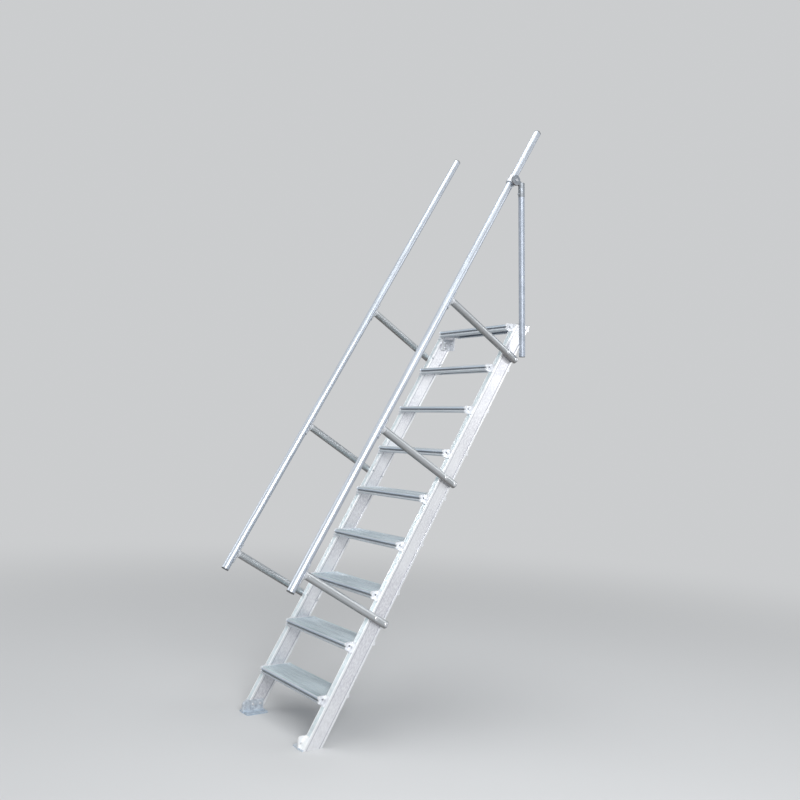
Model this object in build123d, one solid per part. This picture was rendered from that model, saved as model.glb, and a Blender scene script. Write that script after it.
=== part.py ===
from build123d import *
import math
import os

# Steep industrial stair of extruded aluminium, 60 degrees, nine treads, two tube handrails.
# Millimetres. X runs across the flight to the climber's right, Y along the run, Z up.
# It is drawn about the middle of the flight, with Y = 0 where the stringers' front
# faces meet the floor, and moved at the end so that the origin is on the left foot.

# Flight
tread_count = 9
rise = 240.0
first_rise = 232.0
pitch_angle = 60.0
clear_width = 600.0

# Stringer: hollow extrusion with ribbed front face and a bead along each edge of its sides
stringer_depth = 90.0
stringer_width = 38.0
stringer_wall = 2.6
stringer_corner = 2.0
bead_width = 12.0
bead_height = 1.6
front_groove_count = 5
front_groove_width = 2.0
front_groove_depth = 0.9
stringer_cap_thickness = 3.0

# Tread: open-bottomed extrusion with a two-lobed nose, a rear box and a ribbed top
tread_depth = 175.0
nose_lead = 44.0
nose_height = 35.0
nose_length = 27.0
upper_lobe_radius = 9.5
lower_lobe_radius = 8.5
nose_groove_radius = 4.5
nose_groove_depth = 6.5
tread_wall = 2.6
top_plate = 3.4
rib_height = 1.2
rib_width = 2.6
rib_pitch = 6.0
rib_margin = 7.0
rear_box_length = 18.0
rear_box_height = 27.0
rear_corner = 5.0
stiffener_count = 2
stiffener_height = 15.0
stiffener_foot_width = 7.0
stiffener_foot_height = 2.4

# Cast bracket on each end of a tread: a cheek on the stringer's inner side, thickened to an ear
# ahead of the stringer, and a flange on the stringer's front face
cheek_thickness = 5.0
cheek_lip = 2.4
ear_reach = 5.0
ear_hole_radius = 5.5
ear_hole_lead = 12.5
ear_hole_drop = 16.0
front_flange_width = 36.0
front_flange_thickness = 4.0
front_flange_corner = 14.0
bracket_flange_height = 48.0

# Foot: cast angle with a leg on the stringer's inner side, a floor flange that runs out in a toe
# under the stringer's front edge, and an ear and a front flange as on the brackets
foot_front_offset = -5.0
foot_length = 122.0
foot_flange_width = 57.0
foot_flange_thickness = 8.0
foot_toe_width = 35.0
foot_leg_thickness = 6.0
foot_leg_height = 61.0
foot_leg_rear = 112.0
foot_corner = 10.0
foot_ear_front = -8.0
foot_ear_radius = 18.0
foot_ear_hole_height = 28.0
foot_ear_hole_lead = 11.5
foot_front_flange_top = 61.0
anchor_hole_radius = 6.5
anchor_spacing = 60.0
anchor_middle = 73.0
anchor_inset = 24.0

# Top cleat: angle under the top tread, with a flange that takes one bolt
cleat_height = 70.0
cleat_leg = 66.0
cleat_flange = 52.0
cleat_thickness = 6.0
cleat_drop = 45.0
cleat_hole_radius = 6.5

# Handrail and its struts
tube_radius = 20.0
tube_wall = 2.5
rail_offset = 482.0
rail_start = 592.0
rail_length = 2887.0
strut_count = 3
strut_start = 692.0
strut_spacing = 802.0
strut_end_cover = 3.0
seat_gap = 0.3

# Saddle: cast cradle under the rail on a round base, with a spigot inside the strut
saddle_length = 112.0
saddle_wall = 5.0
saddle_corner = 6.0
saddle_base = 5.0
saddle_spigot_length = 30.0
saddle_spigot_wall = 4.0
cradle_lift = 10.0

# End post and the swivel clamp on the outer side of the right rail
post_radius = 17.0
post_wall = 2.5
post_length = 886.0
post_lean = 3.5
collar_below_rail_end = 361.0
collar_length = 44.0
collar_wall = 6.5
collar_boss_radius = 9.0
collar_boss_reach = 6.0
pivot_down_rail = 7.0
pivot_radius = 18.0
pivot_face = 31.0
link_thickness = 13.0
link_edge = 2.5
link_arm_width = 26.0
pin_radius = 5.0
pin_depth = 7.5
pin_head_radius = 8.0
pin_head_thickness = 3.5
sleeve_radius = 17.8
sleeve_length = 78.0
sleeve_spigot_length = 26.0
sleeve_back = 43.0
sleeve_drop = 21.0
sleeve_top_up = 13.0
sleeve_boss_radius = 7.0
sleeve_boss_reach = 5.0
sleeve_boss_rise = 14.0

# Plugs that close the tube ends
rail_plug_head = 6.0
plug_head = 3.0
plug_length = 22.0
plug_edge = 1.6
plug_rib = 5.0

# How far a cut starts outside the solid that it opens
cut_margin = 1.0

# Values that follow from the sizes above
slope = math.radians(pitch_angle)
flight_height = first_rise + (tread_count - 1) * rise
half_clear = clear_width / 2
outer_face = half_clear + stringer_width
strut_x = outer_face + tube_radius + seat_gap
along = Vector(0, math.cos(slope), math.sin(slope))
outward = Vector(0, -math.sin(slope), math.cos(slope))
cheek_inner = half_clear - cheek_thickness


def flight_point(x, s, n):
    """Point at s up the stringer's front face and n out from it towards the climber."""
    return Vector(x, 0, 0) + along * s + outward * n


def front_face_y(z):
    """Y of the stringer's front face at height z."""
    return z / math.tan(slope)


def tread_top(step):
    """Height of a tread above the floor."""
    return first_rise + (step - 1) * rise


def nose_y(step):
    """Y of the front of a tread's nose."""
    return front_face_y(tread_top(step)) - nose_lead


def slab(u0, u1, v0, v1):
    """Rectangle between two corners."""
    return Pos((u0 + u1) / 2, (v0 + v1) / 2) * Rectangle(u1 - u0, v1 - v0)


def across(section, x0, x1):
    """Section drawn in Y and Z, extruded across the flight from x0 to x1."""
    return Pos(x0, 0, 0) * extrude(Plane.YZ * section, amount=x1 - x0)


def rod(start, end, radius):
    """Round bar from one point to another."""
    axis = end - start
    plane = Plane(origin=start, z_dir=axis)
    return extrude(plane * Circle(radius), amount=axis.length)


def tube(start, end, radius, wall):
    """Round tube from one point to another."""
    axis = end - start
    plane = Plane(origin=start, z_dir=axis)
    return extrude(plane * (Circle(radius) - Circle(radius - wall)), amount=axis.length)


def to_left(shape):
    """The same shape on the climber's left."""
    return mirror(shape, about=Plane.YZ)


# Stringers

def stringer_section():
    """Section across a stringer: X outwards from its inner face, Y back from its front face."""
    side = stringer_width - bead_height
    inner = bead_height + stringer_wall
    section = Pos(stringer_width / 2, stringer_depth / 2) * RectangleRounded(
        stringer_width, stringer_depth, stringer_corner
    )
    web_front = bead_width
    web_rear = stringer_depth - bead_width
    section -= slab(-cut_margin, bead_height, web_front, web_rear)
    section -= slab(side, stringer_width + cut_margin, web_front, web_rear)
    section -= slab(inner, stringer_width - inner, stringer_wall + front_groove_depth,
                    stringer_depth - stringer_wall)
    groove_pitch = stringer_width / (front_groove_count + 1)
    for index in range(front_groove_count):
        centre = (index + 1) * groove_pitch
        section -= slab(centre - front_groove_width / 2, centre + front_groove_width / 2,
                        -cut_margin, front_groove_depth)
    return section


def right_stringer():
    """Extrusion along the flight, cut level at the floor and at the top tread."""
    overrun = stringer_depth * 2
    length = flight_height / math.sin(slope) + 2 * overrun
    start = flight_point(half_clear, -overrun, 0)
    plane = Plane(origin=start, x_dir=(1, 0, 0), z_dir=along)
    bar = extrude(plane * stringer_section(), amount=length)
    return bar & level_slice(0, flight_height)


def level_slice(z0, z1):
    """Block that holds all of the right side between two heights."""
    run = front_face_y(flight_height) + 4 * stringer_depth
    block = Box(stringer_width * 3, 2 * run, z1 - z0)
    return Pos(outer_face, run / 2, (z0 + z1) / 2) * block


def right_stringer_cap():
    """Flat plate that closes the stringer's level top, clear of the tread bracket in front."""
    front = front_face_y(flight_height + stringer_cap_thickness)
    rear = front_face_y(flight_height) + stringer_depth / math.sin(slope)
    plate = Pos(half_clear + stringer_width / 2, (front + rear) / 2) * RectangleRounded(
        stringer_width, rear - front, stringer_corner
    )
    return Pos(0, 0, flight_height) * extrude(plate, amount=stringer_cap_thickness)


# Treads

def nose_outline(grow=0.0):
    """Two lobes, one above the other, with a groove between them."""
    upper = Pos(upper_lobe_radius, -upper_lobe_radius) * Circle(upper_lobe_radius + grow)
    lower = Pos(lower_lobe_radius, lower_lobe_radius - nose_height) * Circle(lower_lobe_radius + grow)
    block = slab(upper_lobe_radius, nose_length, -nose_height - grow, grow)
    return upper + lower + block


def nose_groove(grow=0.0):
    """Round groove between the lobes."""
    middle = -(upper_lobe_radius * 2 + nose_height - lower_lobe_radius * 2) / 2
    return Pos(nose_groove_depth - nose_groove_radius - grow, middle) * Circle(nose_groove_radius)


def tread_section():
    """Section of a tread: X back from the nose, Y up from the tops of the ribs."""
    plate_top = -rib_height
    plate_bottom = plate_top - top_plate
    rear_box_start = tread_depth - rear_box_length

    section = nose_outline() - nose_groove()
    section -= slab(upper_lobe_radius, nose_length - tread_wall,
                    tread_wall - nose_height, plate_bottom)
    section -= Pos(lower_lobe_radius, lower_lobe_radius - nose_height) * Circle(
        lower_lobe_radius - tread_wall
    )

    section += slab(nose_length - tread_wall, rear_box_start + tread_wall, plate_bottom, plate_top)

    rear = Pos(tread_depth - rear_box_length / 2, -rear_box_height / 2) * RectangleRounded(
        rear_box_length, rear_box_height, rear_corner
    )
    rear -= slab(rear_box_start + tread_wall, tread_depth - tread_wall,
                 tread_wall - rear_box_height, plate_bottom)
    section += rear

    stiffener_pitch = (rear_box_start - nose_length) / (stiffener_count + 1)
    for index in range(stiffener_count):
        centre = nose_length + (index + 1) * stiffener_pitch
        foot = plate_bottom - stiffener_height
        section += slab(centre - tread_wall / 2, centre + tread_wall / 2, foot, plate_bottom)
        section += slab(centre - stiffener_foot_width / 2, centre + stiffener_foot_width / 2,
                        foot, foot + stiffener_foot_height)

    rib_run = tread_depth - rear_corner - upper_lobe_radius - 2 * rib_margin
    rib_count = int(rib_run / rib_pitch) + 1
    ribs_start = upper_lobe_radius + rib_margin
    section -= slab(ribs_start - rib_width, ribs_start + (rib_count - 1) * rib_pitch + rib_width,
                    plate_top, cut_margin)
    for index in range(rib_count):
        centre = ribs_start + index * rib_pitch
        section += slab(centre - rib_width / 2, centre + rib_width / 2, plate_top, 0)
    return section


def tread(step, section):
    """One tread between its two cheeks."""
    placed = Pos(nose_y(step), tread_top(step)) * section
    return across(placed, -cheek_inner, cheek_inner)


# Cast tread brackets

def cheek_outline():
    """Outline of the cheek: the tread's end with a lip all round."""
    front = nose_outline(cheek_lip) - nose_groove(cheek_lip)
    low = -rear_box_height - cheek_lip
    body = Pos((upper_lobe_radius + tread_depth + cheek_lip) / 2, (cheek_lip + low) / 2)
    body *= RectangleRounded(tread_depth + cheek_lip - upper_lobe_radius, cheek_lip - low,
                             rear_corner + cheek_lip)
    return front + body


def behind_front_face():
    """Space behind the right stringer's front face, from its inner side outwards."""
    length = 2 * flight_height
    start = flight_point(half_clear, -flight_height / 2, 0)
    plane = Plane(origin=start, x_dir=(1, 0, 0), z_dir=along)
    return extrude(plane * slab(0, 4 * stringer_width, 0, 4 * stringer_depth), amount=length)


def front_flange(z0, z1):
    """Plate on the stringer's front face between two heights, its upper outer corner rounded."""
    face = Plane(origin=flight_point(half_clear, 0, 0), x_dir=(1, 0, 0), z_dir=outward)
    plate = slab(0, front_flange_width, z0 / math.sin(slope), z1 / math.sin(slope))
    upper_outer = plate.vertices().group_by(Axis.X)[-1].sort_by(Axis.Y)[-1]
    return extrude(face * fillet(upper_outer, front_flange_corner), amount=front_flange_thickness)


def right_tread_bracket(step):
    """Cheek, ear with a hole and front flange in one casting, as deep as the tread."""
    top = tread_top(step)
    outline = Pos(nose_y(step), top) * cheek_outline()
    cheek = across(outline, cheek_inner, half_clear)
    ear = across(outline, cheek_inner, half_clear + ear_reach) - behind_front_face()
    flange_top = top + cheek_lip
    flange = front_flange(flange_top - bracket_flange_height, flange_top)
    hole_z = top - ear_hole_drop
    hole = Pos(front_face_y(hole_z) - ear_hole_lead, hole_z) * Circle(ear_hole_radius)
    return cheek + ear + flange - across(hole, cheek_inner, half_clear + ear_reach)


# Feet

def right_foot():
    """Leg, ear with a hole, front flange and floor flange with two anchor holes in one casting."""
    leg_inner = half_clear - foot_leg_thickness
    ear_outer = half_clear + ear_reach
    ear_y = foot_ear_front + foot_ear_radius
    ear_z = foot_leg_height - foot_ear_radius

    leg = slab(ear_y, foot_leg_rear, 0, foot_leg_height)
    ear = Pos(ear_y, ear_z) * Circle(foot_ear_radius) + slab(foot_ear_front, ear_y, 0, ear_z)
    ear += slab(ear_y, front_face_y(foot_leg_height), 0, foot_leg_height)
    hole_y = front_face_y(foot_ear_hole_height) - foot_ear_hole_lead
    hole = Pos(hole_y, foot_ear_hole_height) * Circle(ear_hole_radius)
    foot = across(leg, leg_inner, half_clear) + across(ear, leg_inner, ear_outer)
    foot -= across(hole, leg_inner, ear_outer)

    foot_rear = foot_front_offset + foot_length
    flange_inner = half_clear - foot_flange_width
    flange = slab(flange_inner, half_clear + foot_toe_width, foot_front_offset, foot_rear)
    flange = fillet(flange.vertices().group_by(Axis.X)[0], foot_corner)
    for side in (-1, 1):
        centre = Pos(flange_inner + anchor_inset, anchor_middle + side * anchor_spacing / 2)
        flange -= centre * Circle(anchor_hole_radius)
    foot += extrude(flange, amount=foot_flange_thickness)
    foot -= behind_front_face()
    return foot + front_flange(foot_flange_thickness / 2, foot_front_flange_top)


# Top cleats

def right_top_cleat():
    """Angle on the stringer's inner side, its flange square to the run."""
    top = flight_height - cleat_drop
    bottom = top - cleat_height
    back = front_face_y(bottom) + stringer_depth / math.sin(slope)
    leg = Pos(half_clear - cleat_thickness / 2, back - cleat_leg / 2, bottom + cleat_height / 2)
    leg *= Box(cleat_thickness, cleat_leg, cleat_height)
    flange = Pos(half_clear - cleat_flange / 2, back - cleat_thickness / 2, bottom + cleat_height / 2)
    flange *= Box(cleat_flange, cleat_thickness, cleat_height)
    hole_x = half_clear - (cleat_flange + cleat_thickness) / 2
    hole = rod(Vector(hole_x, back - cleat_leg, bottom + cleat_height / 2),
               Vector(hole_x, back + cleat_leg, bottom + cleat_height / 2), cleat_hole_radius)
    return leg + flange - hole


# Handrail, struts and saddles

def right_rail():
    """Round handrail parallel to the flight."""
    start = flight_point(strut_x, rail_start, rail_offset)
    end = flight_point(strut_x, rail_start + rail_length, rail_offset)
    return tube(start, end, tube_radius, tube_wall)


def strut_station(index):
    """Distance up the flight of a strut."""
    return strut_start + index * strut_spacing


def strut_top():
    """Distance of a strut's upper end from the stringer's front face."""
    return rail_offset - tube_radius - saddle_wall - saddle_base


def strut_bottom():
    """Distance of a strut's lower end from the stringer's front face."""
    return strut_end_cover - stringer_depth


def right_strut(index):
    """Strut square to the flight, from its saddle to the stringer's rear edge."""
    s = strut_station(index)
    low = flight_point(strut_x, s, strut_bottom())
    high = flight_point(strut_x, s, strut_top())
    return tube(low, high, tube_radius, tube_wall)


def right_saddle(index):
    """Cradle that hugs the rail from below, its base on the strut and its spigot inside."""
    s = strut_station(index)
    outer = tube_radius + saddle_wall
    centre = flight_point(strut_x, s, rail_offset)
    half = along * (saddle_length / 2)
    side = Plane(origin=centre - Vector(outer, 0, 0), x_dir=along, z_dir=(1, 0, 0))
    profile_height = 2 * (outer - cradle_lift)
    profile = Pos(0, -cradle_lift - profile_height / 2) * RectangleRounded(
        saddle_length, profile_height, saddle_corner
    )
    cradle = rod(centre - half, centre + half, outer) & extrude(side * profile, amount=2 * outer)

    seat = flight_point(strut_x, s, strut_top())
    base_top = centre - outward * math.sqrt(outer ** 2 - tube_radius ** 2)
    body = cradle + rod(seat, base_top, tube_radius)
    body -= rod(centre - half * 2, centre + half * 2, tube_radius + seat_gap)

    spigot_end = seat - outward * saddle_spigot_length
    spigot_radius = tube_radius - tube_wall - seat_gap / 3
    return body + tube(spigot_end, seat, spigot_radius, saddle_spigot_wall)


# End post and swivel clamp

collar_centre = flight_point(strut_x, rail_start + rail_length - collar_below_rail_end, rail_offset)
pivot = collar_centre - along * pivot_down_rail
link_x = pivot_face + seat_gap + link_thickness / 2
post_side = Vector(link_x, 0, 0)
lean = math.radians(post_lean)
post_down = Vector(0, math.sin(lean), -math.cos(lean))
sleeve_seat = pivot + post_side + Vector(0, sleeve_back, -sleeve_drop)
sleeve_top = sleeve_seat - post_down * sleeve_top_up
sleeve_end = sleeve_top + post_down * sleeve_length
spigot_end = sleeve_end + post_down * sleeve_spigot_length


def end_post():
    """Tube from the sleeve down past the stringer's outer face."""
    return tube(sleeve_end, sleeve_end + post_down * post_length, post_radius, post_wall)


def pivot_disc(x0, x1, radius):
    """Disc about the pivot between two distances out from the rail's axis."""
    out = Vector(1, 0, 0)
    return rod(pivot + out * x0, pivot + out * x1, radius)


def clamp_collar():
    """Ring on the rail with a set-screw boss and the pivot's boss on its outer side."""
    outer = tube_radius + collar_wall
    half = along * (collar_length / 2)
    ring = rod(collar_centre - half, collar_centre + half, outer)
    climber_side = Vector(0, -1, 0)
    ring += rod(collar_centre, collar_centre + climber_side * (outer + collar_boss_reach), collar_boss_radius)
    ring += pivot_disc(0, pivot_face, pivot_radius)
    ring -= rod(collar_centre - half * 3, collar_centre + half * 3, tube_radius + seat_gap)
    return ring - pin_space()


def clamp_sleeve():
    """Round head with a spigot inside the post and a link out to the pivot."""
    link = pivot_disc(pivot_face + seat_gap, link_x + link_thickness / 2, pivot_radius)
    face = link.faces().sort_by(Axis.X)[-1]
    link = chamfer(face.edges(), link_edge)
    reach = Vector(0, sleeve_back, -sleeve_drop)
    arm_plane = Plane(origin=pivot + post_side, x_dir=(1, 0, 0), z_dir=reach)
    link += extrude(arm_plane * Rectangle(link_thickness, link_arm_width), amount=reach.length)

    head = rod(sleeve_top, sleeve_end, sleeve_radius)
    boss_centre = sleeve_end - post_down * sleeve_boss_rise
    boss_end = boss_centre + Vector(0, -1, 0) * (sleeve_radius + sleeve_boss_reach)
    head += rod(boss_centre, boss_end, sleeve_boss_radius)
    head += rod(sleeve_end, spigot_end, post_radius - post_wall - seat_gap / 3)
    return link + head - pin_space()


def pin_space():
    """Hole for the pivot pin, blind in the collar's boss."""
    outside = pivot_face + 2 * link_thickness
    return pivot_disc(pivot_face - pin_depth - seat_gap, outside, pin_radius + seat_gap / 3)


def clamp_pin():
    """Pin through the link into the collar's boss, with a round head outside."""
    seat = link_x + link_thickness / 2
    pin = pivot_disc(pivot_face - pin_depth, seat, pin_radius)
    return pin + pivot_disc(seat, seat + pin_head_thickness, pin_head_radius)


# Plugs

def plug(end, inwards, radius, wall, head_height=plug_head):
    """Push-in plug with a flat head and a cross-ribbed spigot, for a tube that starts at end."""
    spigot_width = 2 * (radius - wall - seat_gap / 3)
    cross = Rectangle(spigot_width, plug_rib) + Rectangle(plug_rib, spigot_width)
    plane = Plane(origin=end, x_dir=(1, 0, 0), z_dir=inwards)
    spigot = extrude(plane * (cross & Circle(spigot_width / 2)), amount=plug_length)
    outside = end - inwards * head_height
    head = rod(outside, end, radius)
    rim = head.edges().filter_by(GeomType.CIRCLE).sort_by_distance(outside)[0]
    return chamfer(rim, plug_edge) + spigot


def right_rail_plugs():
    """Plugs in both ends of the rail."""
    start = flight_point(strut_x, rail_start, rail_offset)
    end = flight_point(strut_x, rail_start + rail_length, rail_offset)
    return Compound([plug(start, along, tube_radius, tube_wall, rail_plug_head),
                     plug(end, along * -1, tube_radius, tube_wall, rail_plug_head)])


def right_strut_plugs():
    """Plugs in the lower ends of the struts."""
    plugs = []
    for index in range(strut_count):
        low = flight_point(strut_x, strut_station(index), strut_bottom())
        plugs.append(plug(low, outward, tube_radius, tube_wall))
    return Compound(plugs)


def post_plug():
    """Plug in the post's lower end."""
    low = sleeve_end + post_down * post_length
    return plug(low, post_down * -1, post_radius, post_wall)


# Assembly: every piece in its own file, with the origin under the left foot's flange

origin_x = -(half_clear - foot_flange_width / 2)
origin_y = anchor_middle
to_origin = Location((-origin_x, -origin_y, 0))

pieces = {}
pair = {
    "stringer": right_stringer(),
    "stringer_cap": right_stringer_cap(),
    "foot": right_foot(),
    "top_cleat": right_top_cleat(),
    "handrail": right_rail(),
    "handrail_plugs": right_rail_plugs(),
    "strut_plugs": right_strut_plugs(),
    "tread_brackets": Compound([right_tread_bracket(step) for step in range(1, tread_count + 1)]),
}
for index in range(strut_count):
    pair[f"strut_{index + 1}"] = right_strut(index)
    pair[f"saddle_{index + 1}"] = right_saddle(index)
for name, shape in pair.items():
    pieces[f"{name}_right"] = shape
    pieces[f"{name}_left"] = to_left(shape)

profile = tread_section()
for step in range(1, tread_count + 1):
    pieces[f"tread_{step}"] = tread(step, profile)

pieces["end_post"] = end_post()
pieces["end_post_plug"] = post_plug()
pieces["clamp_collar"] = clamp_collar()
pieces["clamp_sleeve"] = clamp_sleeve()
pieces["clamp_pin"] = clamp_pin()

os.makedirs("parts", exist_ok=True)
for name, shape in pieces.items():
    export_step(shape.moved(to_origin), f"parts/{name}.step")
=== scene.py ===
import math

import bpy
from mathutils import Matrix, Vector


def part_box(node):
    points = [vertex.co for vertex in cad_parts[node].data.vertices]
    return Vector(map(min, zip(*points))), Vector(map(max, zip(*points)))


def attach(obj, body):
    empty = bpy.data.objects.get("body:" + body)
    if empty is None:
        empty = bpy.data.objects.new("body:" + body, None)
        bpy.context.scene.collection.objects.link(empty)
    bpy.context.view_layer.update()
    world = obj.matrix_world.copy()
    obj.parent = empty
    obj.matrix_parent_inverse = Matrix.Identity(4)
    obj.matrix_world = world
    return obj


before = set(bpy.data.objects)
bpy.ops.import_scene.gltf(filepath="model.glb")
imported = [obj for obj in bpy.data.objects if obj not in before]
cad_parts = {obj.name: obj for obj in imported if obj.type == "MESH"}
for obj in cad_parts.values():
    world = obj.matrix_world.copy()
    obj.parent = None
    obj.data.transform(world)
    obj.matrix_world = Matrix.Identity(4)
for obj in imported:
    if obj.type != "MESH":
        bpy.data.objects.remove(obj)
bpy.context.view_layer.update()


# Stringers. Two hollow aluminium extrusions with a ribbed front face and a bead along each edge
# of their sides, cut level at the floor and under the top tread. The mill finish keeps the
# die's fine lines along the length, with dull handling patches and floor splashes low down.

pitch = math.radians(60)
front_face_start = -0.073
stair_middle = 0.2715
half_clear = 0.300
stringer_width = 0.038
stringer_depth = 0.090
outer_face = half_clear + stringer_width
bead_width = 0.012


def feed(tree, inputs, sockets):
    """Links each value that is a socket to its input, and sets the others. Colours are R, G, B."""
    for name, value in sockets.items():
        if isinstance(value, bpy.types.NodeSocket):
            tree.links.new(value, inputs[name])
        elif inputs[name].type == "RGBA":
            inputs[name].default_value = (*value, 1.0)
        else:
            inputs[name].default_value = value


def add(tree, kind, sockets=None, **settings):
    """Adds a shader node with its settings and the values of its sockets."""
    made = tree.nodes.new("ShaderNode" + kind)
    for name, value in settings.items():
        setattr(made, name, value)
    feed(tree, made.inputs, sockets or {})
    return made


def ramp(tree, value, low, high, at_low=0, at_high=1):
    """Value between low and high, turned into a value between at_low and at_high."""
    return add(tree, "MapRange", {"Value": value, "From Min": low, "From Max": high,
                                  "To Min": at_low, "To Max": at_high}).outputs["Result"]


def reckon(tree, operation, first, second=0.0):
    """One operation on one or two values."""
    return add(tree, "Math", {0: first, 1: second}, operation=operation).outputs[0]


def times(tree, first, *others):
    """Product of masks and strengths."""
    for other in others:
        first = reckon(tree, "MULTIPLY", first, other)
    return first


def stripe(tree, value, start, full, fade, end):
    """Rises from 0 at start to 1 at full, stays 1 until fade and falls to 0 at end."""
    return times(tree, ramp(tree, value, start, full), ramp(tree, value, fade, end, 1, 0))


def tint(tree, mask, under, over):
    """Lays one colour over another where the mask is 1."""
    return add(tree, "Mix", {0: mask, 6: under, 7: over}, data_type="RGBA").outputs[2]


def lay(tree, colour, *layers):
    """Lays colours over one another. A layer is its mask, its strength and its colour."""
    for mask, strength, over in layers:
        colour = tint(tree, times(tree, mask, strength), colour, over)
    return colour


def noise(tree, vector, scale, detail, roughness=0.5, distortion=0.0):
    """Soft noise, mostly between 0.3 and 0.7."""
    return add(tree, "TexNoise", {"Vector": vector, "Scale": scale, "Detail": detail,
                                  "Roughness": roughness, "Distortion": distortion}).outputs["Fac"]


def stretched(tree, vector, scale, turn=(0, 0, 0)):
    """A vector turned and scaled. A pattern on it is long where the scale is small."""
    return add(tree, "Mapping", {"Vector": vector, "Rotation": turn, "Scale": scale}).outputs["Vector"]


def split(tree, vector):
    """The X, Y and Z of a vector."""
    return add(tree, "SeparateXYZ", {"Vector": vector}).outputs


def place_on_object(tree):
    """Place on the object, in metres."""
    return add(tree, "TexCoord").outputs["Object"]


def facing_up(tree):
    """1 on a face that looks straight up, -1 on one that looks straight down."""
    return split(tree, add(tree, "NewGeometry").outputs["Normal"])["Z"]


def from_stair_middle(tree, vector):
    """Distance from the flight's middle plane, in metres."""
    return reckon(tree, "ABSOLUTE", reckon(tree, "SUBTRACT", split(tree, vector)["X"], stair_middle))


def relief(tree, height, strength, depth, normal=None):
    """Normal of a fine relief, at most this deep in metres, laid over a given normal."""
    sockets = {"Height": height, "Strength": strength, "Distance": depth}
    if normal is not None:
        sockets["Normal"] = normal
    return add(tree, "Bump", sockets).outputs["Normal"]


def new_effect(name, inputs, outputs):
    """Starts a node group with named inputs and outputs. Returns the tree and its two ends."""
    tree = bpy.data.node_groups.new(name, "ShaderNodeTree")
    for label, value in inputs.items():
        kind = "NodeSocketVector" if value is None else "NodeSocketFloat"
        socket = tree.interface.new_socket(name=label, in_out="INPUT", socket_type=kind)
        if value is not None:
            socket.default_value = value
    for label, kind in outputs.items():
        tree.interface.new_socket(name=label, in_out="OUTPUT", socket_type="NodeSocket" + kind)
    return tree, tree.nodes.new("NodeGroupInput").outputs, tree.nodes.new("NodeGroupOutput").inputs


def effect(tree, group, sockets=None):
    """Places a node group in a material."""
    return add(tree, "Group", sockets, node_tree=group).outputs


# The flight's own axes: X across, Y up the stringers' front faces, Z out from them, in metres.
flight_axes, _, ends = new_effect("flight_axes", {}, {"Vector": "Vector", "Out": "Float"})
turned = add(flight_axes, "Mapping", {
    "Vector": place_on_object(flight_axes),
    "Rotation": (-pitch, 0, 0),
    "Location": (0, -front_face_start * math.cos(pitch), front_face_start * math.sin(pitch)),
}).outputs["Vector"]
feed(flight_axes, ends, {"Vector": turned, "Out": split(flight_axes, turned)["Z"]})

# Lines that the drawing die leaves. The vector is stretched along them before it comes in.
drawn_lines, starts, ends = new_effect("drawn_lines", {"Vector": None},
                                       {"Streaks": "Float", "Lines": "Float"})
broad = noise(drawn_lines, starts["Vector"], scale=0.09, detail=3.0, roughness=0.62)
fine = noise(drawn_lines, starts["Vector"], scale=0.9, detail=4.0, roughness=0.7)
feed(drawn_lines, ends, {"Streaks": ramp(drawn_lines, broad, 0.36, 0.66),
                         "Lines": ramp(drawn_lines, fine, 0.3, 0.7)})

# Marks of handling: wide dull patches, and in them short thin scratches that lie two ways.
handling, starts, ends = new_effect("handling", {"Vector": None},
                                    {"Patches": "Float", "Scratches": "Float"})
patch = noise(handling, starts["Vector"], scale=4.5, detail=5.0, roughness=0.6, distortion=0.6)
cuts = []
for turn, stretch in ((0.5, (9.0, 90.0, 40.0)), (-0.8, (14.0, 120.0, 60.0))):
    laid = stretched(handling, starts["Vector"], stretch, (turn, turn * 1.7, turn))
    cells = add(handling, "TexVoronoi", {"Vector": laid, "Scale": 1.0}, feature="DISTANCE_TO_EDGE")
    cuts.append(ramp(handling, cells.outputs["Distance"], 0.0, 0.02, 1, 0))
feed(handling, ends, {"Patches": ramp(handling, patch, 0.42, 0.66),
                      "Scratches": times(handling, reckon(handling, "MAXIMUM", *cuts),
                                         ramp(handling, patch, 0.5, 0.6))})

# Splashes and dust that rise from the floor, thick at it and thinning out at the given height.
floor_splash, starts, ends = new_effect("floor_splash", {"Height": 0.4}, {"Splash": "Float"})
place = place_on_object(floor_splash)
level = reckon(floor_splash, "DIVIDE", split(floor_splash, place)["Z"], starts["Height"])
near = reckon(floor_splash, "MAXIMUM", reckon(floor_splash, "SUBTRACT", 1.0, level), 0.0)
spots = noise(floor_splash, place, scale=38.0, detail=6.0, roughness=0.7)
spots = ramp(floor_splash, spots, 0.35, 0.7, 0.1, 1.0)
thinning = reckon(floor_splash, "POWER", near, 1.6)
feed(floor_splash, ends, {"Splash": times(floor_splash, thinning, spots)})

# Edges painted bright, partly as rubbed wear and partly as a painted highlight. The bevel shader finds
# them within the given radius, in metres.
worn_and_highlit_edges, starts, ends = new_effect("worn_and_highlit_edges", {"Radius": 0.0012},
                                        {"Edges": "Float", "Normal": "Vector"})
rounded = add(worn_and_highlit_edges, "Bevel", {"Radius": starts["Radius"]}, samples=6).outputs["Normal"]
flat = add(worn_and_highlit_edges, "NewGeometry").outputs["Normal"]
likeness = add(worn_and_highlit_edges, "VectorMath", {0: rounded, 1: flat}, operation="DOT_PRODUCT")
feed(worn_and_highlit_edges, ends, {"Edges": ramp(worn_and_highlit_edges, likeness.outputs["Value"], 0.995, 0.82),
                          "Normal": rounded})


def new_finish(name, metal):
    """Starts a material. Returns it with its tree and its shader."""
    material = bpy.data.materials.new(name)
    material.use_nodes = True
    shader = material.node_tree.nodes["Principled BSDF"]
    shader.inputs["Metallic"].default_value = metal
    return material, material.node_tree, shader


def coat(tree, shader, colour, roughness, normal):
    """Ends a material: its colour, roughness and normal reach the shader."""
    feed(tree, shader.inputs, {"Base Color": colour, "Roughness": roughness, "Normal": normal})


def dress(material, *names):
    """Gives a finish to the CAD nodes of these names."""
    for name in names:
        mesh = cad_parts[name].data
        mesh.materials.clear()
        mesh.materials.append(material)


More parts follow.
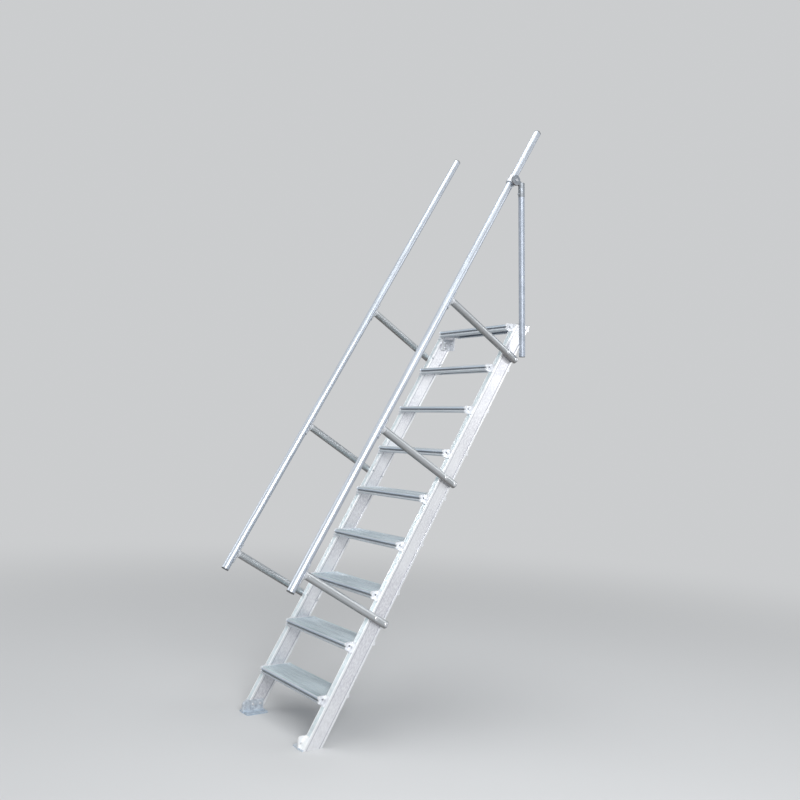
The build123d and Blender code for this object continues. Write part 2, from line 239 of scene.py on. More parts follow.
bright_mill = (0.97, 0.98, 0.99)
dull_mill = (0.88, 0.90, 0.93)
web_grey = (0.67, 0.67, 0.72)
etched_pale = (0.94, 0.95, 0.98)
ribbed_blue = (0.47, 0.62, 0.66)
die_line_pale = (0.90, 0.92, 0.95)
handled_grey = (0.60, 0.61, 0.66)
painted_corner_shade = (0.30, 0.31, 0.38)
scratch_bright = (0.95, 0.96, 0.98)
# Edges painted bright, as rubbed wear and painted highlight.
edge_bright = (0.96, 0.97, 0.99)
splash_brown = (0.42, 0.40, 0.38)

mill_finish, tree, shader = new_finish("mill_finish_extrusion", 0.72)
axes = effect(tree, flight_axes)
out = axes["Out"]
drawn = effect(tree, drawn_lines, {"Vector": stretched(tree, axes["Vector"], (900, 4, 900))})
marks = effect(tree, handling, {"Vector": axes["Vector"]})
splash = effect(tree, floor_splash, {"Height": 0.5})
edges = effect(tree, worn_and_highlit_edges, {"Radius": 0.0014})

# The side web between the two beads, mottled all over and painted greyer in broad patches as
# painted shade, and the painted shade in the corner beside each bead.
front_bead = -bead_width
rear_bead = bead_width - stringer_depth
line_edge = 0.0005
shade_core = 0.003
shade_end = 0.005
web = stripe(tree, out, rear_bead - line_edge, rear_bead + line_edge,
             front_bead - line_edge, front_bead + line_edge)
# Painted shade in the corner beside each bead.
front_corner = stripe(tree, out, front_bead - shade_end, front_bead - shade_core,
                      front_bead, front_bead + line_edge)
rear_corner = stripe(tree, out, rear_bead - line_edge, rear_bead,
                     rear_bead + shade_core, rear_bead + shade_end)
corners = reckon(tree, "MAXIMUM", front_corner, rear_corner)
etched = noise(tree, stretched(tree, axes["Vector"], (1, 0.45, 1)), scale=130.0, detail=5.0,
               roughness=0.65)
mottled = times(tree, ramp(tree, etched, 0.46, 0.56), web)
# Broad patches where the web is painted greyer, as painted shade.
web_shade_patches = ramp(tree, noise(tree, axes["Vector"], scale=2.2, detail=3.0), 0.42, 0.6)

# The ribbed band in the middle of the front face, between its two plain edges.
face_low, face_high = -0.0012, -0.0004
inner_margin = 0.005
outer_margin = 0.006
edge_blur = 0.001
inner_edge = half_clear + inner_margin
outer_edge = outer_face - outer_margin
band = stripe(tree, from_stair_middle(tree, axes["Vector"]), inner_edge - edge_blur,
              inner_edge + edge_blur, outer_edge - edge_blur, outer_edge + edge_blur)
ribbed = times(tree, ramp(tree, out, face_low, face_high), band)

colour = lay(
    tree, tint(tree, drawn["Streaks"], bright_mill, dull_mill),
    (web, ramp(tree, web_shade_patches, 0, 1, 0.95, 0.3), web_grey),
    (mottled, 0.75, etched_pale),
    (ribbed, 0.85, ribbed_blue),
    (drawn["Lines"], 0.3, die_line_pale),
    (marks["Patches"], 0.25, handled_grey),
    (corners, 0.7, painted_corner_shade),
    (marks["Scratches"], 0.6, scratch_bright),
    (edges["Edges"], 0.8, edge_bright),
    (splash["Splash"], 0.22, splash_brown),
)
dull = reckon(tree, "ADD", ramp(tree, marks["Patches"], 0, 1, 0.34, 0.46),
              times(tree, splash["Splash"], 0.3))
dull = reckon(tree, "ADD", dull, ramp(tree, drawn["Lines"], 0, 1, -0.05, 0.06))
die_relief = relief(tree, drawn["Lines"], strength=0.12, depth=0.0004, normal=edges["Normal"])
coat(tree, shader, colour, dull, die_relief)
dress(mill_finish, "stringer_left", "stringer_right")


# Stringer covers. A flat moulded plate of grey plastic closes each stringer's level top.
# It is scuffed by shoes at its corners and pressed on, with no screw to be seen.

plastic_scratch = (0.66, 0.66, 0.65)


def moulded_finish(name, plain, handled, edge_colour, rub_radius, rub, scratches, grain, strength, rough):
    """Finish of a moulded plastic: two tones, a fine grain, pale scratches and edges painted pale, as
    rubbed wear and painted highlight.
    """
    material, tree, shader = new_finish(name, 0.0)
    place = place_on_object(tree)
    marks = effect(tree, handling, {"Vector": place})
    edges = effect(tree, worn_and_highlit_edges, {"Radius": rub_radius})
    colour = lay(
        tree, tint(tree, marks["Patches"], plain, handled),
        (marks["Scratches"], scratches, plastic_scratch),
        (edges["Edges"], rub, edge_colour),
    )
    grained = noise(tree, place, scale=grain, detail=2.0)
    coat(tree, shader, colour, ramp(tree, marks["Patches"], 0, 1, *rough),
         relief(tree, grained, strength, depth=0.0002, normal=edges["Normal"]))
    return material


moulded_grey = moulded_finish(
    "moulded_grey_plastic", plain=(0.40, 0.42, 0.43), handled=(0.50, 0.51, 0.51),
    edge_colour=(0.62, 0.63, 0.63), rub_radius=0.0008, rub=0.4, scratches=0.5, grain=900.0,
    strength=0.25, rough=(0.52, 0.66))
dress(moulded_grey, "stringer_cap_left", "stringer_cap_right")


# Treads. Nine aluminium extrusions, each with a two-lobed nose, a ribbed top and a rear box.
# The die's lines run across the flight. Shoes have polished the ribs and left dirt
# between them. The tops are painted greener, and darker than the noses as painted shade.

tread_count = 9
tread_rise = 0.240
first_rise = 0.232
rib_line = (0.00034, 0.00106)
lip_line = (0.0120, 0.0130)
groove_line = (0.0130, 0.0154, 0.0202, 0.0221)
trodden_half = (0.14, 0.30)

lobe_bright = (0.62, 0.66, 0.70)
lobe_dull = (0.46, 0.50, 0.55)
top_green_and_shade = (0.33, 0.48, 0.52)
streak_pale = (0.80, 0.95, 0.98)
cross_line_pale = (0.76, 0.80, 0.82)
trodden_bright = (0.80, 0.94, 1.0)
valley_dirt = (0.26, 0.30, 0.30)
lip_blue = (0.42, 0.54, 0.68)
painted_groove_shade = (0.13, 0.15, 0.19)
tread_scratch = (0.86, 0.88, 0.88)
# Edges painted bright, as rubbed wear and painted highlight.
tread_edge_bright = (0.96, 0.98, 1.0)

ribbed_tread, tree, shader = new_finish("ribbed_tread_extrusion", 0.7)
place = place_on_object(tree)
drawn = effect(tree, drawn_lines, {"Vector": stretched(tree, place, (3, 700, 700))})
marks = effect(tree, handling, {"Vector": place})
edges = effect(tree, worn_and_highlit_edges, {"Radius": 0.0010})

# How far a point lies below the nearest tread's top, in metres, as the lines above are given.
above_first = reckon(tree, "SUBTRACT", split(tree, place)["Z"], first_rise)
steps_up = reckon(tree, "DIVIDE", above_first, tread_rise)
step_part = reckon(tree, "FRACT", reckon(tree, "ADD", steps_up, 0.5))
below_top = times(tree, reckon(tree, "SUBTRACT", 0.5, step_part), tread_rise)

up = facing_up(tree)
top = ramp(tree, up, 0.85, 0.97)
valley = times(tree, ramp(tree, below_top, *rib_line), top)
lip = times(tree, ramp(tree, below_top, *lip_line, 1, 0), ramp(tree, up, 0.3, 0.6, 1, 0))
# Painted shade in the groove between the nose's two lobes.
groove_shade = stripe(tree, below_top, *groove_line)
trodden = ramp(tree, from_stair_middle(tree, place), *trodden_half, 1, 0.2)
trodden = times(tree, trodden, top, ramp(tree, marks["Patches"], 0, 1, 0.1, 1))
streaked = noise(tree, stretched(tree, place, (2.5, 26, 40), turn=(0, 0, 0.25)), scale=1.0, detail=3.0)
streaked = times(tree, ramp(tree, streaked, 0.42, 0.58), top)

colour = lay(
    tree, tint(tree, drawn["Streaks"], lobe_bright, lobe_dull),
    # The tops: their own greener tone, and painted shade that makes them darker than the noses.
    (top, 0.95, top_green_and_shade),
    (streaked, 0.8, streak_pale),
    (drawn["Lines"], 0.25, cross_line_pale),
    (trodden, 0.45, trodden_bright),
    (valley, 0.65, valley_dirt),
    (lip, 0.45, lip_blue),
    (groove_shade, 0.85, painted_groove_shade),
    (marks["Scratches"], 0.5, tread_scratch),
    (edges["Edges"], 0.85, tread_edge_bright),
)
dull = reckon(tree, "ADD", ramp(tree, marks["Patches"], 0, 1, 0.36, 0.5), times(tree, valley, 0.25))
die_relief = relief(tree, drawn["Lines"], strength=0.12, depth=0.0004, normal=edges["Normal"])
coat(tree, shader, colour, dull, die_relief)
dress(ribbed_tread, *[f"tread_{step}" for step in range(1, tread_count + 1)])


# Tread brackets. Blasted aluminium castings, one at each end of a tread, with a cheek against
# the stringer's inner side, an ear with a hole ahead of it and a flange on its front face. Each
# is held by two hexagon bolts through the cheek, up in the hollow under the tread.

sides = ((-1, "left"), (1, "right"))
cheek_thickness = 0.005
nose_lead = 0.044
bolt_setbacks = (0.050, 0.092)
bolt_drop = 0.0145
bolt_corners = 0.0145
bolt_head = 0.0052
washer_radius = 0.0080
washer_thickness = 0.0014
smooth_angle = math.radians(35)

# The skin of a casting: a fine sandy grain and soft mottling.
cast_skin, starts, ends = new_effect("cast_skin", {"Vector": None, "Grain": 700.0},
                                     {"Mottle": "Float", "Height": "Float"})
sand = noise(cast_skin, starts["Vector"], scale=starts["Grain"], detail=3.0, roughness=0.6)
cloud = noise(cast_skin, starts["Vector"], scale=45.0, detail=4.0)
feed(cast_skin, ends, {"Mottle": ramp(cast_skin, cloud, 0.35, 0.65),
                       "Height": reckon(cast_skin, "ADD", sand, times(cast_skin, cloud, 0.6))})

floor_dirt = (0.34, 0.31, 0.28)
floor_flange_blue = (0.46, 0.58, 0.70)
floor_flange_top = (0.0072, 0.0095)


def casting_finish(name, bright, dark, edge_colour, grain, depth, rough, metal=0.65, dirt=0.45):
    """Finish of a casting: two tones, edges painted bright as rubbed wear and painted highlight,
    splashes and a bluer flange on the floor.
    """
    material, tree, shader = new_finish(name, metal)
    place = place_on_object(tree)
    skin = effect(tree, cast_skin, {"Vector": place, "Grain": grain})
    marks = effect(tree, handling, {"Vector": place})
    splash = effect(tree, floor_splash, {"Height": 0.35})
    edges = effect(tree, worn_and_highlit_edges, {"Radius": 0.0016})
    floor_flange = ramp(tree, split(tree, place)["Z"], *floor_flange_top, 1, 0)
    colour = lay(
        tree, tint(tree, skin["Mottle"], bright, dark),
        (marks["Patches"], 0.35, dark),
        (edges["Edges"], 0.6, edge_colour),
        (splash["Splash"], dirt, floor_dirt),
        (floor_flange, 0.6, floor_flange_blue),
    )
    coat(tree, shader, colour, ramp(tree, skin["Mottle"], 0, 1, rough - 0.05, rough + 0.08),
         relief(tree, skin["Height"], strength=0.5, depth=depth, normal=edges["Normal"]))
    return material


blasted_casting = casting_finish(
    "blasted_bracket_casting", bright=(0.86, 0.88, 0.91), dark=(0.74, 0.76, 0.80),
    edge_colour=(0.96, 0.97, 0.98), grain=900.0, depth=0.00025, rough=0.46)
dress(blasted_casting, "tread_brackets_left", "tread_brackets_right")

# Zinc-plated steel, as on every bolt, nut and screw, with a faint bloom on its shine.
zinc_bright = (0.80, 0.81, 0.83)
zinc_dull = (0.62, 0.64, 0.67)
# Edges painted bright, as rubbed wear and painted highlight.
zinc_edge_bright = (0.92, 0.93, 0.94)

zinc_plated, tree, shader = new_finish("zinc_plated_steel", 0.9)
bloom = noise(tree, place_on_object(tree), scale=260.0, detail=4.0)
edges = effect(tree, worn_and_highlit_edges, {"Radius": 0.0006})
colour = lay(
    tree, tint(tree, ramp(tree, bloom, 0.35, 0.65), zinc_bright, zinc_dull),
    (edges["Edges"], 0.5, zinc_edge_bright),
)
coat(tree, shader, colour, ramp(tree, bloom, 0.3, 0.7, 0.24, 0.4), edges["Normal"])


def round_bar(name, radius, bottom, top, corners):
    """Upright bar on the Z axis, as the active object, with its place in its mesh."""
    bpy.ops.object.select_all(action="DESELECT")
    bpy.ops.mesh.primitive_cylinder_add(vertices=corners, radius=radius, depth=top - bottom,
                                        location=(0, 0, (bottom + top) / 2))
    bar = bpy.context.object
    bar.name = name
    bpy.ops.object.transform_apply(location=True, rotation=True, scale=True)
    return bar


def pick_faces_up(above=-math.inf):
    """Selects, in edit mode, only the active object's faces that look up from above a height."""
    bpy.ops.object.mode_set(mode="EDIT")
    bpy.ops.mesh.select_mode(type="FACE")
    bpy.ops.mesh.select_all(action="DESELECT")
    bpy.ops.object.mode_set(mode="OBJECT")
    for face in bpy.context.object.data.polygons:
        face.select = face.normal.z > 0.9 and face.center.z > above
    bpy.ops.object.mode_set(mode="EDIT")


def narrow(height, scale):
    """Extrudes the picked cap upwards and scales its new end about the Z axis."""
    bpy.ops.mesh.extrude_region_move(TRANSFORM_OT_translate={"value": (0, 0, height)})
    bpy.ops.transform.resize(value=(scale, scale, 1), center_override=(0, 0, 0))


def round_edges(piece, width, segments):
    """Bevels the sharp edges of the active object."""
    bevel = piece.modifiers.new("round_edges", "BEVEL")
    bevel.width = width
    bevel.segments = segments
    bpy.ops.object.modifier_apply(modifier=bevel.name)


def hexagon_bolt(name, across_corners, head, washer_radius, washer):
    """Hexagon bolt head with a chamfered top on a flat washer. Its seat is at Z = 0."""
    washer_rim = washer * 0.2
    chamfer = head * 0.2
    flanks = head - chamfer
    bolt = round_bar(name, washer_radius, 0, washer, corners=20)
    pick_faces_up()
    bpy.ops.mesh.inset(thickness=washer_rim, depth=0)
    bpy.ops.mesh.select_all(action="DESELECT")
    bpy.ops.mesh.primitive_cylinder_add(vertices=6, radius=across_corners / 2, depth=flanks,
                                        location=(0, 0, washer + flanks / 2))
    pick_faces_up(above=washer + head / 2)
    narrow(chamfer, scale=0.86)
    bpy.ops.object.mode_set(mode="OBJECT")
    round_edges(bolt, width=head * 0.05, segments=1)
    return bolt


def set_in_places(master, name, places, material=zinc_plated):
    """Copies of a master, one turned and moved to each place, joined as one piece of the stair."""
    bpy.ops.object.select_all(action="DESELECT")
    for spot in places:
        copy = bpy.data.objects.new(name, master.data.copy())
        copy.data.transform(spot)
        bpy.context.collection.objects.link(copy)
        copy.select_set(True)
        bpy.context.view_layer.objects.active = copy
    bpy.ops.object.join()
    piece = bpy.context.object
    piece.name = name
    piece.data.materials.clear()
    piece.data.materials.append(material)
    bpy.ops.object.shade_smooth_by_angle(angle=smooth_angle)
    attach(piece, "root")


def facing_x(point, side, spin=0.0):
    """Place of a fastener whose head points to +X (side 1) or to -X (side -1)."""
    turned = Matrix.Rotation(side * math.pi / 2, 4, "Y") @ Matrix.Rotation(spin, 4, "Z")
    return Matrix.Translation(point) @ turned


# Each bolt is spun another way, as a spanner leaves it.
cheek_bolt = hexagon_bolt("cheek_bolt", bolt_corners, bolt_head, washer_radius, washer_thickness)
for side, hand in sides:
    cheek_x = stair_middle + side * (half_clear - cheek_thickness)
    places = []
    for step in range(1, tread_count + 1):
        top_z = first_rise + (step - 1) * tread_rise
        nose_y = front_face_start + top_z / math.tan(pitch) - nose_lead
        for number, setback in enumerate(bolt_setbacks):
            seat = Vector((cheek_x, nose_y + setback, top_z - bolt_drop))
            places.append(facing_x(seat, -side, spin=0.4 * step + number))
    set_in_places(cheek_bolt, f"cheek_bolts_{hand}", places)
bpy.data.objects.remove(cheek_bolt)


# Feet. Aluminium castings that stand the stringers on the floor, the left one rough and painted
# darker blue-grey as painted shade, the right one painted pale as painted light. Two hexagon bolts
# hold each leg to its stringer's inner side. The anchor holes in the floor flanges and the holes
# in the ears are left open.

foot_leg_thickness = 0.006
foot_bolt_backs = (0.050, 0.092)
foot_bolt_height = 0.038
foot_bolt_corners = 0.0150
foot_bolt_head = 0.0053

# The left foot: a darker, bluer copy of the casting, as painted shade.
shaded_rough_casting = casting_finish(
    "shaded_rough_foot_casting", bright=(0.80, 0.86, 0.92), dark=(0.40, 0.46, 0.53),
    edge_colour=(0.92, 0.95, 0.98), grain=420.0, depth=0.0010, rough=0.50, metal=0.6, dirt=0.3)
dress(shaded_rough_casting, "foot_left")
# The right foot: a paler copy of the same casting, as painted light.
lit_pale_casting = casting_finish(
    "lit_pale_foot_casting", bright=(0.98, 0.98, 0.97), dark=(0.86, 0.89, 0.92),
    edge_colour=(0.98, 0.99, 0.99), grain=420.0, depth=0.0005, rough=0.50, metal=0.5, dirt=0.12)
dress(lit_pale_casting, "foot_right")

foot_bolt = hexagon_bolt("foot_bolt", foot_bolt_corners, foot_bolt_head, washer_radius,
                         washer_thickness)
for side, hand in sides:
    leg_x = stair_middle + side * (half_clear - foot_leg_thickness)
    places = []
    for number, back in enumerate(foot_bolt_backs):
        seat = Vector((leg_x, front_face_start + back, foot_bolt_height))
        places.append(facing_x(seat, -side, spin=0.7 + number))
    set_in_places(foot_bolt, f"foot_bolts_{hand}", places)


# Top cleats. Plain angles cut from aluminium bar, bolted inside the stringers' upper ends by
# two hexagon bolts each. Each has an upright flange with a hole for one more bolt.

cleat_thickness = 0.006
cleat_bolt_back = 0.42
cleat_bolt_levels = (0.25, 0.75)

bar_bright = (0.76, 0.78, 0.81)
bar_dull = (0.62, 0.64, 0.67)
bar_handled = (0.56, 0.57, 0.60)
# Edges painted bright, as rubbed wear and painted highlight.
bar_edge_bright = (0.93, 0.94, 0.96)

cut_angle, tree, shader = new_finish("cut_aluminium_angle", 0.7)
place = place_on_object(tree)
drawn = effect(tree, drawn_lines, {"Vector": stretched(tree, place, (700, 700, 6))})
marks = effect(tree, handling, {"Vector": place})
edges = effect(tree, worn_and_highlit_edges, {"Radius": 0.0012})
colour = lay(
    tree, tint(tree, drawn["Streaks"], bar_bright, bar_dull),
    (marks["Patches"], 0.4, bar_handled),
    (edges["Edges"], 0.7, bar_edge_bright),
)
coat(tree, shader, colour, ramp(tree, marks["Patches"], 0, 1, 0.36, 0.5), edges["Normal"])
dress(cut_angle, "top_cleat_left", "top_cleat_right")

for side, hand in sides:
    low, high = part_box(f"top_cleat_{hand}")
    size = high - low
    leg_x = stair_middle + side * (half_clear - cleat_thickness)
    leg_middle = low.y + size.y * cleat_bolt_back
    places = []
    for number, level in enumerate(cleat_bolt_levels):
        seat = Vector((leg_x, leg_middle, low.z + size.z * level))
        places.append(facing_x(seat, -side, spin=0.3 + number))
    set_in_places(foot_bolt, f"cleat_bolts_{hand}", places)
bpy.data.objects.remove(foot_bolt)


# Handrails. Round drawn aluminium tubes parallel to the flight, one each side. Hands keep them
# satin bright, with faint drawn lines and a few knocks along them.

tube_scratch = (0.93, 0.94, 0.95)


def tube_finish(name, stretch, bright, dark, under, under_from, under_to, rough, metal=0.75):
    """Finish of a drawn tube: lines along it, knocks, and painted shade on the side that faces the
    floor.
    """
    material, tree, shader = new_finish(name, metal)
    axes = effect(tree, flight_axes)
    drawn = effect(tree, drawn_lines, {"Vector": stretched(tree, axes["Vector"], stretch)})
    marks = effect(tree, handling, {"Vector": axes["Vector"]})
    # Painted shade, in the colour under, on the side that faces the floor.
    shaded_underside = ramp(tree, facing_up(tree), under_from, under_to, 1, 0)
    colour = lay(
        tree, tint(tree, drawn["Streaks"], bright, dark),
        (drawn["Lines"], 0.2, dark),
        (shaded_underside, 0.85, under),
        (marks["Patches"], 0.3, dark),
        (marks["Scratches"], 0.2, tube_scratch),
    )
    coat(tree, shader, colour, ramp(tree, marks["Patches"], 0, 1, rough, rough + 0.12),
         relief(tree, drawn["Streaks"], strength=0.03, depth=0.0003))
    return material


# The rails' lower sides are painted darker blue-grey as painted shade.
satin_tube = tube_finish(
    "satin_handrail_tube", stretch=(350, 1.2, 350), bright=(0.70, 0.75, 0.82),
    dark=(0.60, 0.66, 0.74), under=(0.38, 0.41, 0.47), under_from=-0.5, under_to=0.35, rough=0.34,
    metal=0.85)
dress(satin_tube, "handrail_left", "handrail_right")


# Struts. Three drawn tubes on each side carry the handrail. Each lies across the stringer's
# outer side and is held there by two domed bolts with washers and nuts inside. They are
# duller than the rails, with brown painted shade on their undersides.

tube_radius = 0.020
seat_gap = 0.0003
tube_x = outer_face + tube_radius + seat_gap
strut_start = 0.692
strut_spacing = 0.802
strut_stations = [strut_start + strut_spacing * number for number in range(3)]
strut_bolt_depths = (0.010, 0.078)
dome_radius = 0.0110
dome_height = 0.0044
dome_collar = 0.0026
dome_sink = 0.0018
dome_seat = tube_x + tube_radius - dome_sink
dome_rings = ((0.22, 0.955), (0.22, 0.90), (0.18, 0.82), (0.13, 0.70), (0.07, 0.48), (0.03, 0.30))
nut_corners = 0.0150
nut_height = 0.0062
nut_washer_radius = 0.0085

dull_tube = tube_finish(
    "dull_strut_tube", stretch=(350, 350, 1.5), bright=(0.62, 0.65, 0.67),
    dark=(0.45, 0.47, 0.49), under=(0.20, 0.18, 0.17), under_from=-0.82, under_to=-0.2, rough=0.32,
    metal=0.9)
strut_names = [f"strut_{number}_{hand}" for number in (1, 2, 3) for _, hand in sides]
dress(dull_tube, *strut_names)


def up_flight(x, s, n):
    """Point at x from the flight's middle, s up the stringers' front faces and n out from them."""
    along = Vector((0, math.cos(pitch), math.sin(pitch)))
    out = Vector((0, -math.sin(pitch), math.cos(pitch)))
    return Vector((stair_middle + x, front_face_start, 0)) + along * s + out * n


def domed_bolt(name, radius, height, collar):
    """Domed bolt head, seated at Z = 0, on a collar that reaches down to the tube's round."""
    rim = height * 0.15
    bolt = round_bar(name, radius, -collar, rim, corners=24)
    pick_faces_up()
    for rise, scale in dome_rings:
        narrow(height * rise, scale)
    bpy.ops.object.mode_set(mode="OBJECT")
    return bolt


dome = domed_bolt("strut_dome", dome_radius, dome_height, dome_collar)
nut = hexagon_bolt("strut_nut", nut_corners, nut_height, nut_washer_radius, washer_thickness)
for side, hand in sides:
    domes = []
    nuts = []
    for number, station in enumerate(strut_stations):
        for depth in strut_bolt_depths:
            domes.append(facing_x(up_flight(side * dome_seat, station, -depth), side))
            nut_seat = up_flight(side * half_clear, station, -depth)
            nuts.append(facing_x(nut_seat, -side, spin=0.9 * number + 9 * depth))
    set_in_places(dome, f"strut_bolts_{hand}", domes)
    set_in_places(nut, f"strut_nuts_{hand}", nuts)
bpy.data.objects.remove(dome)
bpy.data.objects.remove(nut)


# Saddles. Tumbled aluminium castings: a thin cradle under the rail on a round base, with a
# spigot inside the strut. One socket screw through the strut's outer side locks each spigot.

saddle_screw_out = 0.440
saddle_screw_radius = 0.0042
saddle_screw_height = 0.0016
saddle_screw_root = 0.004
saddle_screw_sink = 0.0008
saddle_screw_seat = tube_x + tube_radius - saddle_screw_sink

tumbled_casting = casting_finish(
    "tumbled_saddle_casting", bright=(0.74, 0.76, 0.79), dark=(0.60, 0.62, 0.65),
    edge_colour=(0.93, 0.94, 0.95), grain=1100.0, depth=0.0002, rough=0.4, metal=0.7)
dress(tumbled_casting, *[name.replace("strut", "saddle") for name in strut_names])


def socket_screw(name, radius, height, root):
    """Round socket screw with a chamfered rim and a hollow drive. Its seat is at Z = 0."""
    chamfer = radius * 0.06
    socket_wall = radius * 0.35
    socket_depth = radius * 0.7
    screw = round_bar(name, radius, -root, height, corners=18)
    pick_faces_up()
    narrow(chamfer, scale=0.9)
    bpy.ops.mesh.inset(thickness=socket_wall, depth=0)
    bpy.ops.mesh.extrude_region_move(TRANSFORM_OT_translate={"value": (0, 0, -socket_depth)})
    bpy.ops.object.mode_set(mode="OBJECT")
    return screw


lock_screw = socket_screw("saddle_screw", saddle_screw_radius, saddle_screw_height,
                          saddle_screw_root)
for side, hand in sides:
    places = [facing_x(up_flight(side * saddle_screw_seat, station, saddle_screw_out), side)
              for station in strut_stations]
    set_in_places(lock_screw, f"saddle_screws_{hand}", places)
bpy.data.objects.remove(lock_screw)


# End plugs. Dark moulded plugs pushed into the open ends of the rails, struts and post.
# Their heads are scuffed pale where they have met the floor in transport.

moulded_dark = moulded_finish(
    "moulded_dark_plastic", plain=(0.060, 0.064, 0.070), handled=(0.105, 0.108, 0.112),
    edge_colour=(0.30, 0.30, 0.30), rub_radius=0.0009, rub=0.35, scratches=0.0, grain=800.0,
    strength=0.2, rough=(0.42, 0.58))
dress(moulded_dark, "handrail_plugs_left", "handrail_plugs_right", "strut_plugs_left",
      "strut_plugs_right", "end_post_plug")


# End post. A thinner drawn tube that hangs from the right rail and comes down beside the
# stringer's outer side, greyer than the rail.

# The post's lower side is painted darker as painted shade.
post_tube = tube_finish(
    "end_post_tube", stretch=(350, 350, 2), bright=(0.42, 0.46, 0.53), dark=(0.32, 0.36, 0.42),
    under=(0.32, 0.34, 0.37), under_from=-0.9, under_to=-0.2, rough=0.5)
dress(post_tube, "end_post")


# Swivel clamp. A pale cast collar on the rail, a galvanised casting with a link and a head that
# takes the post, and a plated pin that joins them. The link widens to a round knuckle about the
# pin. A socket set screw in a boss locks the collar on the rail, and another locks the post.

rail_offset = 0.482
collar_station = 3.118
collar_boss_reach = 0.0325
sleeve_boss_reach = 0.0228
sleeve_boss_place = Vector((0.6676, 1.1112, 2.8633))
collar_screw_radius = 0.0046
sleeve_screw_radius = 0.0038
set_screw_height = 0.0010
knuckle_radius = 0.029
knuckle_depth = 0.0118
knuckle_edge = 0.0022
knuckle_clearance = 0.0007
pin_head_thickness = 0.0035

spangle_pale = (0.33, 0.36, 0.40)
spangle_dark = (0.25, 0.28, 0.32)
skin_grey = (0.25, 0.26, 0.27)
# Edges painted bright, as rubbed wear and painted highlight.
clamp_edge_bright = (0.62, 0.64, 0.66)
underside_shade_brown = (0.14, 0.10, 0.09)

galvanised, tree, shader = new_finish("galvanised_clamp_casting", 0.7)
place = place_on_object(tree)
spangle = add(tree, "TexVoronoi", {"Vector": place, "Scale": 160.0}).outputs["Color"]
tone = add(tree, "SeparateColor", {"Color": spangle}).outputs["Red"]
skin = effect(tree, cast_skin, {"Vector": place, "Grain": 600.0})
edges = effect(tree, worn_and_highlit_edges, {"Radius": 0.0014})
# The underside is painted dark brown: painted shade with a brown painted reflection from below.
shaded_underside = ramp(tree, facing_up(tree), -0.7, -0.2, 1, 0)
colour = lay(
    tree, tint(tree, tone, spangle_pale, spangle_dark),
    (skin["Mottle"], 0.5, skin_grey),
    (edges["Edges"], 0.6, clamp_edge_bright),
    (shaded_underside, 0.8, underside_shade_brown),
)
coat(tree, shader, colour, ramp(tree, skin["Mottle"], 0, 1, 0.4, 0.55),
     relief(tree, skin["Height"], strength=0.4, depth=0.0004, normal=edges["Normal"]))
dress(galvanised, "clamp_sleeve")
dress(zinc_plated, "clamp_pin")
dress(tumbled_casting, "clamp_collar")

low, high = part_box("clamp_pin")
knuckle_seat = (low + high) / 2
knuckle_seat.x = high.x - pin_head_thickness - knuckle_clearance - knuckle_depth / 2
knuckle = round_bar("clamp_knuckle_master", knuckle_radius, -knuckle_depth / 2, knuckle_depth / 2,
                    corners=56)
round_edges(knuckle, knuckle_edge, segments=3)
set_in_places(knuckle, "clamp_knuckle", [facing_x(knuckle_seat, 1)], galvanised)
bpy.data.objects.remove(knuckle)


def facing_front(point):
    """Place of a fastener whose head points to -Y."""
    return Matrix.Translation(point) @ Matrix.Rotation(math.pi / 2, 4, "X")


collar_boss = up_flight(tube_x, collar_station, rail_offset) - Vector((0, collar_boss_reach, 0))
sleeve_boss = sleeve_boss_place - Vector((0, sleeve_boss_reach, 0))
for name, radius, seat in (("collar_set_screw", collar_screw_radius, collar_boss),
                           ("sleeve_set_screw", sleeve_screw_radius, sleeve_boss)):
    set_screw = socket_screw(f"{name}_master", radius, set_screw_height, set_screw_height)
    set_in_places(set_screw, name, [facing_front(seat)])
    bpy.data.objects.remove(set_screw)


# Floor. A plain pale floor that fades into the backdrop's grey, so that no horizon shows. It has
# that grey as its own colour under the stair, where it takes the stair's shadow.

studio_grey = (0.60, 0.61, 0.62)
floor_size = 60
floor_middle_y = 0.5
fade_from, fade_to = 0.6, 8.0


def seen_rays(tree):
    """1 on rays that come from the camera or by a reflection, 0 on rays that light the object."""
    rays = add(tree, "LightPath").outputs
    mirrored = reckon(tree, "MAXIMUM", rays["Is Glossy Ray"], rays["Is Transmission Ray"])
    return reckon(tree, "MAXIMUM", rays["Is Camera Ray"], mirrored)


bpy.ops.object.select_all(action="DESELECT")
bpy.ops.mesh.primitive_plane_add(size=floor_size, location=(stair_middle, floor_middle_y, 0))
floor = bpy.context.object
floor.name = "floor"
floor_finish, tree, shader = new_finish("pale_floor", 0.0)
feed(tree, shader.inputs, {"Base Color": studio_grey, "Roughness": 0.9, "Specular IOR Level": 0.1})
backdrop = add(tree, "Emission", {"Color": studio_grey, "Strength": 1.0}).outputs["Emission"]
spread = add(tree, "VectorMath", {0: place_on_object(tree)}, operation="LENGTH").outputs["Value"]
far = add(tree, "MapRange", {"Value": spread, "From Min": fade_from, "From Max": fade_to},
          interpolation_type="SMOOTHERSTEP").outputs["Result"]
faded = add(tree, "MixShader", {0: times(tree, far, seen_rays(tree)),
                                1: shader.outputs["BSDF"], 2: backdrop})
feed(tree, tree.nodes["Material Output"].inputs, {"Surface": faded.outputs["Shader"]})
floor.data.materials.append(floor_finish)


# Light. A pale grey world that is dimmer as a lamp than it looks, a large soft lamp from the
# camera's side, one behind the stair that draws the light along the struts, a weak one from the
# other side and one overhead.

world_lamp_strength = 0.75

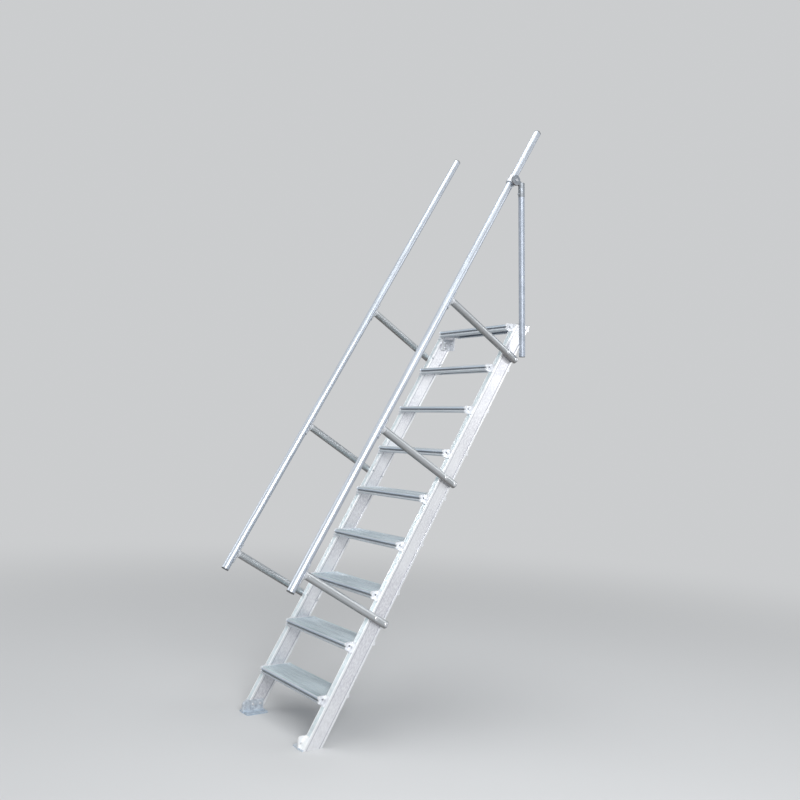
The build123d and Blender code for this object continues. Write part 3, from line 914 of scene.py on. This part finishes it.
world = bpy.data.worlds.new("studio")
bpy.context.scene.world = world
world.use_nodes = True
tree = world.node_tree
feed(tree, tree.nodes["Background"].inputs, {
    "Color": studio_grey,
    "Strength": ramp(tree, seen_rays(tree), 0, 1, world_lamp_strength, 1.0),
})


def soft_lamp(name, place, target, size, power):
    """Square area lamp that looks at a point."""
    bpy.ops.object.select_all(action="DESELECT")
    bpy.ops.object.light_add(type="AREA", location=place)
    lamp = bpy.context.object
    lamp.name = name
    lamp.data.size = size
    lamp.data.energy = power
    lamp.rotation_euler = (Vector(target) - Vector(place)).to_track_quat("-Z", "Y").to_euler()


soft_lamp("camera_side_lamp", place=(5.8, -1.6, 3.6), target=(0.3, 0.4, 1.2), size=2.4, power=265)
soft_lamp("rear_side_lamp", place=(3.1, 4.6, 2.6), target=(0.4, 0.4, 1.4), size=2.0, power=26)
soft_lamp("far_side_lamp", place=(-3.5, -4.5, 3.5), target=(0.3, 0.4, 1.2), size=3.0, power=50)
soft_lamp("overhead_lamp", place=(0.4, 0.6, 6.5), target=(0.3, 0.5, 0.0), size=3.0, power=110)


# Camera. At standing eye height to the climber's right, turned a little up and tilted as the
# photograph is. Its place, angles and focal length are solved from the stair's edges and holes.

camera_place = (4.1419, -2.1508, 1.4866)
yaw, tip, roll = 0.94756, 0.04337, 0.04691
focal_pixels = 860.02
photo_width = 800
sensor_width = 36.0
view_reach = 200

level_out = Vector((-math.sin(yaw), math.cos(yaw), 0))
level_right = Vector((math.cos(yaw), math.sin(yaw), 0))
upright = Vector((0, 0, 1))
look = level_out * math.cos(tip) + upright * math.sin(tip)
head = upright * math.cos(tip) - level_out * math.sin(tip)
right = level_right * math.cos(roll) + head * math.sin(roll)
head = head * math.cos(roll) - level_right * math.sin(roll)

bpy.ops.object.select_all(action="DESELECT")
bpy.ops.object.camera_add()
camera = bpy.context.object
camera.data.sensor_width = sensor_width
camera.data.lens = focal_pixels / photo_width * sensor_width
camera.data.clip_end = view_reach
turn = Matrix((right, head, -look)).transposed().to_4x4()
camera.matrix_world = Matrix.Translation(camera_place) @ turn
bpy.context.scene.camera = camera
bpy.context.scene.view_settings.view_transform = "Standard"
